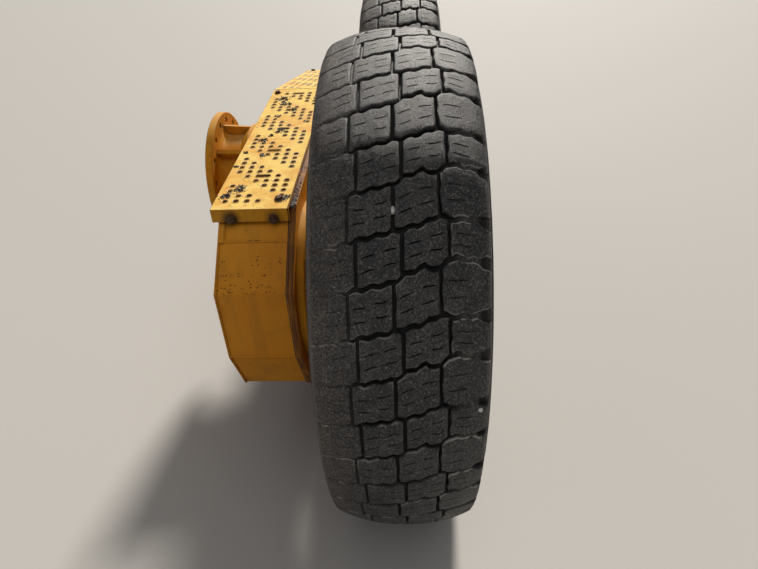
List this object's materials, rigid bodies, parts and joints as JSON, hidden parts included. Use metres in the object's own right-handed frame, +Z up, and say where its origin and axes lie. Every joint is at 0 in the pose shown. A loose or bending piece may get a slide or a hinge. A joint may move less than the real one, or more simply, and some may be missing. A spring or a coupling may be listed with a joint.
{
  "type": "motor grader tandem drive",
  "caption": "Tandem drive of a road grader: a swinging chain case with punched walkway plates that carries two driven wheels on one side of the axle.",
  "frame": {"origin": "centre of the mounting flange's face, on the axis that the case swings about", "axes": "+X to the machine's front, +Y out of the flange towards the machine, +Z up; the wheels are on the -Y side"},
  "size_m": [2.8826, 0.9274, 1.3606],
  "materials": {
    "yellow_paint": "weathered yellow paint over steel plate, dusty, with rust spots and chipped edges",
    "walkway_paint": "worn yellow paint on punched plate, scuffed pale on the raised rims, black dirt in the holes",
    "yellow_casting": "yellow paint on a rough casting, dusty and stained",
    "rim_paint": "yellow paint on rolled steel rim parts, scuffed along the flanges",
    "machined_steel": "turned steel with a film of oil",
    "fastener_steel": "dull, lightly rusted steel",
    "tyre_rubber": "worn black rubber, grey-brown with dust",
    "valve_brass": "dull brass"
  },
  "bodies": {
    "axle_end": {"axle_housing": "yellow_casting", "pivot_trunnion": "machined_steel", "pivot_retainer": "machined_steel"},
    "tandem": {"case_band": "yellow_paint", "inner_wall": "yellow_paint", "outer_wall": "yellow_paint", "pivot_collar": "yellow_paint", "centre_cover": "yellow_paint", "rear_sprocket_cover": "yellow_paint", "front_sprocket_cover": "yellow_paint", "rear_brake_housing": "yellow_casting", "front_brake_housing": "yellow_casting", "rear_walkway": "walkway_paint", "front_walkway": "walkway_paint", "rear_walkway_rails": "yellow_paint", "front_walkway_rails": "yellow_paint", "case_plugs": "fastener_steel", "breather": "fastener_steel"},
    "rear_wheel": {"rear_tyre": "tyre_rubber", "rear_rim": "rim_paint", "rear_side_ring": "rim_paint", "rear_lock_ring": "rim_paint", "rear_wheel_disc": "rim_paint", "rear_wheel_axle": "yellow_casting", "rear_hub_cap": "yellow_casting", "rear_wheel_nuts": "fastener_steel", "rear_valve_stem": "valve_brass"},
    "front_wheel": {"front_tyre": "tyre_rubber", "front_rim": "rim_paint", "front_side_ring": "rim_paint", "front_lock_ring": "rim_paint", "front_wheel_disc": "rim_paint", "front_wheel_axle": "yellow_casting", "front_hub_cap": "yellow_casting", "front_wheel_nuts": "fastener_steel", "front_valve_stem": "valve_brass"}
  },
  "joints": [
    {"name": "tandem_oscillation", "type": "hinge", "parent": "axle_end", "child": "tandem", "pos_m": [0, -0.3, 0], "axis": [0, 1, 0], "range_deg": [-15, 25]},
    {"name": "rear_wheel_spin", "type": "hinge", "parent": "tandem", "child": "rear_wheel", "pos_m": [-0.761, -0.74, -0.055], "axis": [0, 1, 0], "continuous": true},
    {"name": "front_wheel_spin", "type": "hinge", "parent": "tandem", "child": "front_wheel", "pos_m": [0.761, -0.74, -0.055], "axis": [0, 1, 0], "continuous": true}
  ],
  "couplings": [
    {"joint": "front_wheel_spin", "follows": "rear_wheel_spin", "ratio": 1}
  ]
}
